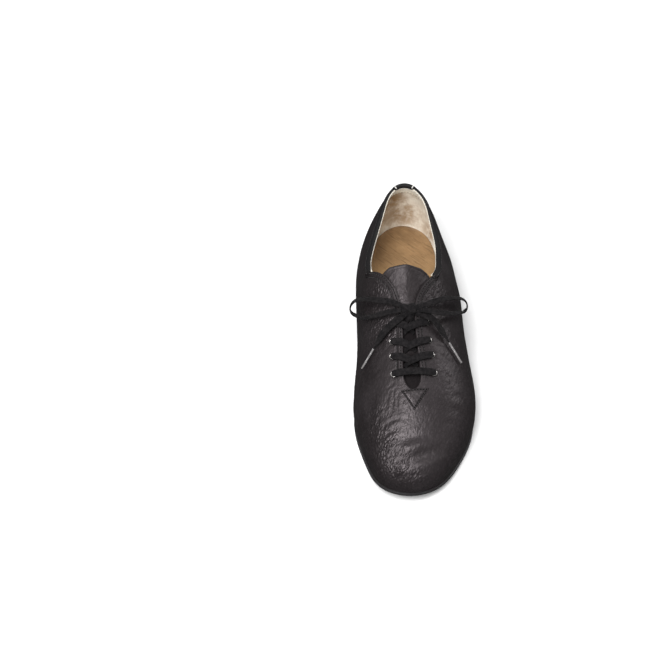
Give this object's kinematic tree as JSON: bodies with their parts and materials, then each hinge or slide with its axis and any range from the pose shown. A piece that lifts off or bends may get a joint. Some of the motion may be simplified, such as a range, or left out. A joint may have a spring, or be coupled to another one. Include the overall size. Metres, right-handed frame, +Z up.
{
  "type": "jazz shoe",
  "caption": "Low-cut lace-up jazz dance shoe in soft leather with a thin sole, a low heel and a tied bow.",
  "frame": {"origin": "on the floor under the middle of the shoe's box, cords left out", "axes": "+Y from toe to heel, +Z up, +X to the lateral side of this left shoe"},
  "size_m": [0.0911, 0.2516, 0.0806],
  "materials": {
    "upper_leather": "soft pebbled black leather, low sheen",
    "tongue_leather": "soft black leather",
    "outsole": "thin black sole, matt",
    "heel": "black rubber, matt",
    "insole_leather": "tan leather with fine scratches",
    "binding": "black woven tape",
    "eyelet_metal": "nickel plated",
    "lace": "flat woven black cotton",
    "aglet": "clear plastic"
  },
  "bodies": {
    "root": {"aglet_lateral": "aglet", "aglet_medial": "aglet", "binding_lateral": "binding", "binding_medial": "binding", "eyelet_lateral_1": "eyelet_metal", "eyelet_lateral_2": "eyelet_metal", "eyelet_lateral_3": "eyelet_metal", "eyelet_lateral_4": "eyelet_metal", "eyelet_medial_1": "eyelet_metal", "eyelet_medial_2": "eyelet_metal", "eyelet_medial_3": "eyelet_metal", "eyelet_medial_4": "eyelet_metal", "heel": "heel", "heel_tab": "binding", "insole": "insole_leather", "lace_bar": "lace", "lace_cross_2": "lace", "lace_cross_3": "lace", "lace_cross_4": "lace", "lace_end_lateral": "lace", "lace_end_medial": "lace", "lace_knot": "lace", "lace_loop_lateral": "lace", "lace_loop_medial": "lace", "outsole": "outsole", "tongue": "tongue_leather", "upper": "upper_leather"}
  },
  "joints": []
}
